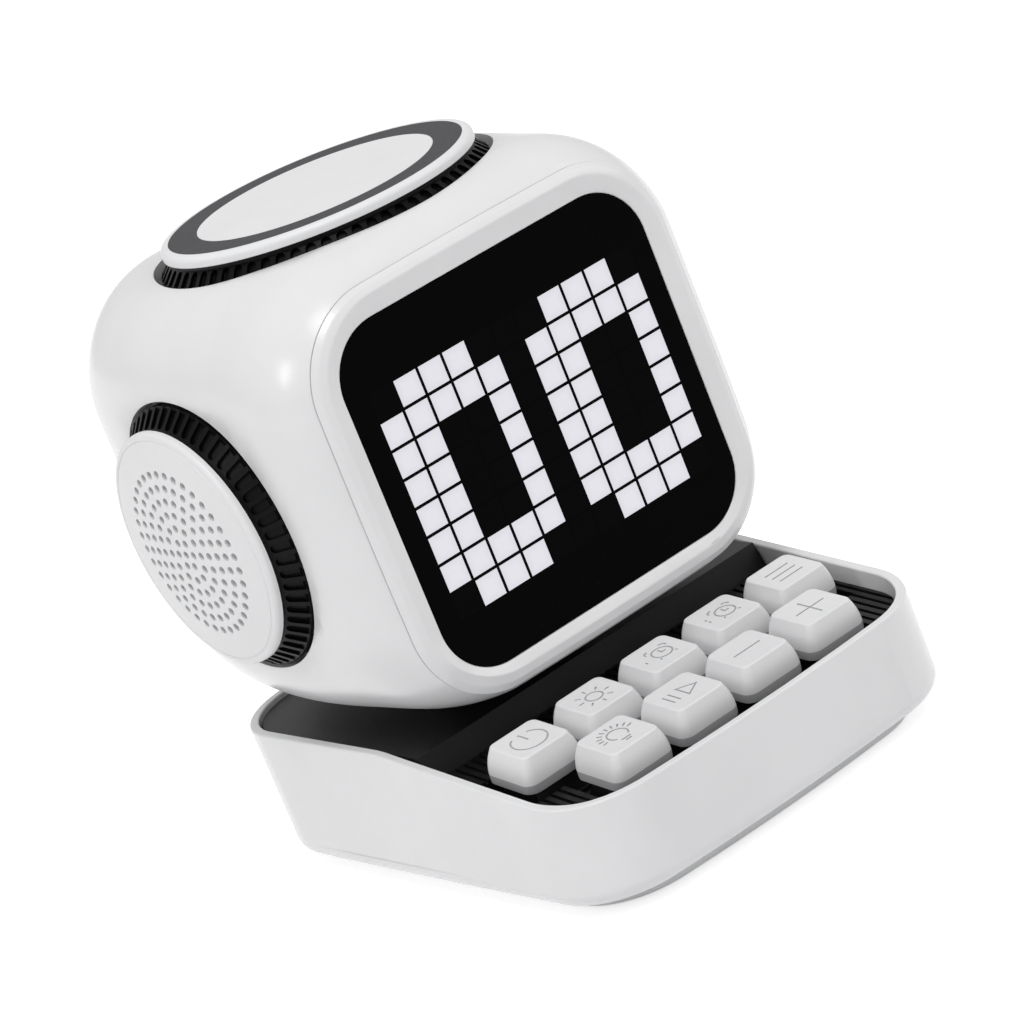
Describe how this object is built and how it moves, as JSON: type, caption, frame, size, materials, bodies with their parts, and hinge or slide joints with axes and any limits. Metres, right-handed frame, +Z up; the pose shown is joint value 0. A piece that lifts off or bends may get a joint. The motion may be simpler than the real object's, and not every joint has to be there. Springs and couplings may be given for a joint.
{
  "type": "talking clock",
  "caption": "Desk clock that speaks: round-edged cube with a pixel screen, side speakers and a charging puck, on a low tray with two rows of push keys.",
  "frame": {"origin": "centre of the footprint on the plane that the feet stand on", "axes": "+X to the right of someone facing the screen, +Y to the back, +Z up; the screen faces -Y"},
  "size_m": [0.1298, 0.1475, 0.1487],
  "materials": {
    "white_shell": "satin",
    "white_cap": "satin",
    "black_satin": "satin",
    "dark_ring": "matte",
    "screen_black": "gloss",
    "pixel_light": "diffusing",
    "stem_plastic": "satin",
    "circuit_board": "satin",
    "copper": "wound wire",
    "ferrite": "matte",
    "paper_cone": "matte",
    "magnet_steel": "satin",
    "steel": "satin",
    "battery_sleeve": "gloss",
    "foot_rubber": "matte"
  },
  "bodies": {
    "root": {"base_shell": "white_shell", "battery": "battery_sleeve", "board_screws": "steel", "bottom_plate": "white_shell", "charging_coil": "copper", "diffuser_sheet": "pixel_light", "ferrite_plate": "ferrite", "front_bezel": "white_shell", "head_shell": "white_shell", "key_board": "circuit_board", "key_deck": "black_satin", "led_board": "circuit_board", "left_collar": "black_satin", "left_driver_basket": "black_satin", "left_driver_cone": "paper_cone", "left_driver_magnet": "magnet_steel", "left_grille": "white_shell", "light_grid": "black_satin", "liner": "black_satin", "main_board": "circuit_board", "neck": "black_satin", "neck_nut": "black_satin", "neck_screws": "steel", "puck_base": "white_shell", "puck_collar": "black_satin", "puck_disc": "white_shell", "puck_ring": "dark_ring", "rear_cover": "white_shell", "right_collar": "black_satin", "right_driver_basket": "black_satin", "right_driver_cone": "paper_cone", "right_driver_magnet": "magnet_steel", "right_grille": "white_shell", "rubber_feet": "foot_rubber", "screen_lens": "screen_black", "switch_housings": "black_satin", "switch_plate": "steel", "usb_socket": "steel"},
    "power_key": {"key_cap_power": "white_cap", "key_stem_power": "stem_plastic"},
    "brightness_key": {"key_cap_brightness": "white_cap", "key_stem_brightness": "stem_plastic"},
    "alarm_one_key": {"key_cap_alarm_one": "white_cap", "key_stem_alarm_one": "stem_plastic"},
    "alarm_two_key": {"key_cap_alarm_two": "white_cap", "key_stem_alarm_two": "stem_plastic"},
    "menu_key": {"key_cap_menu": "white_cap", "key_stem_menu": "stem_plastic"},
    "light_key": {"key_cap_light": "white_cap", "key_stem_light": "stem_plastic"},
    "play_key": {"key_cap_play": "white_cap", "key_stem_play": "stem_plastic"},
    "minus_key": {"key_cap_minus": "white_cap", "key_stem_minus": "stem_plastic"},
    "plus_key": {"key_cap_plus": "white_cap", "key_stem_plus": "stem_plastic"}
  },
  "joints": [
    {"name": "power_press", "type": "slide", "parent": "root", "child": "power_key", "axis": [0, -0.1271, 0.9919], "range_m": [-0.004, 0], "stiffness_N_per_m": 150, "springref_m": 0.003},
    {"name": "brightness_press", "type": "slide", "parent": "root", "child": "brightness_key", "axis": [0, -0.1271, 0.9919], "range_m": [-0.004, 0], "stiffness_N_per_m": 150, "springref_m": 0.003},
    {"name": "alarm_one_press", "type": "slide", "parent": "root", "child": "alarm_one_key", "axis": [0, -0.1271, 0.9919], "range_m": [-0.004, 0], "stiffness_N_per_m": 150, "springref_m": 0.003},
    {"name": "alarm_two_press", "type": "slide", "parent": "root", "child": "alarm_two_key", "axis": [0, -0.1271, 0.9919], "range_m": [-0.004, 0], "stiffness_N_per_m": 150, "springref_m": 0.003},
    {"name": "menu_press", "type": "slide", "parent": "root", "child": "menu_key", "axis": [0, -0.1271, 0.9919], "range_m": [-0.004, 0], "stiffness_N_per_m": 150, "springref_m": 0.003},
    {"name": "light_press", "type": "slide", "parent": "root", "child": "light_key", "axis": [0, -0.1271, 0.9919], "range_m": [-0.004, 0], "stiffness_N_per_m": 150, "springref_m": 0.003},
    {"name": "play_press", "type": "slide", "parent": "root", "child": "play_key", "axis": [0, -0.1271, 0.9919], "range_m": [-0.004, 0], "stiffness_N_per_m": 150, "springref_m": 0.003},
    {"name": "minus_press", "type": "slide", "parent": "root", "child": "minus_key", "axis": [0, -0.1271, 0.9919], "range_m": [-0.004, 0], "stiffness_N_per_m": 150, "springref_m": 0.003},
    {"name": "plus_press", "type": "slide", "parent": "root", "child": "plus_key", "axis": [0, -0.1271, 0.9919], "range_m": [-0.004, 0], "stiffness_N_per_m": 150, "springref_m": 0.003}
  ]
}
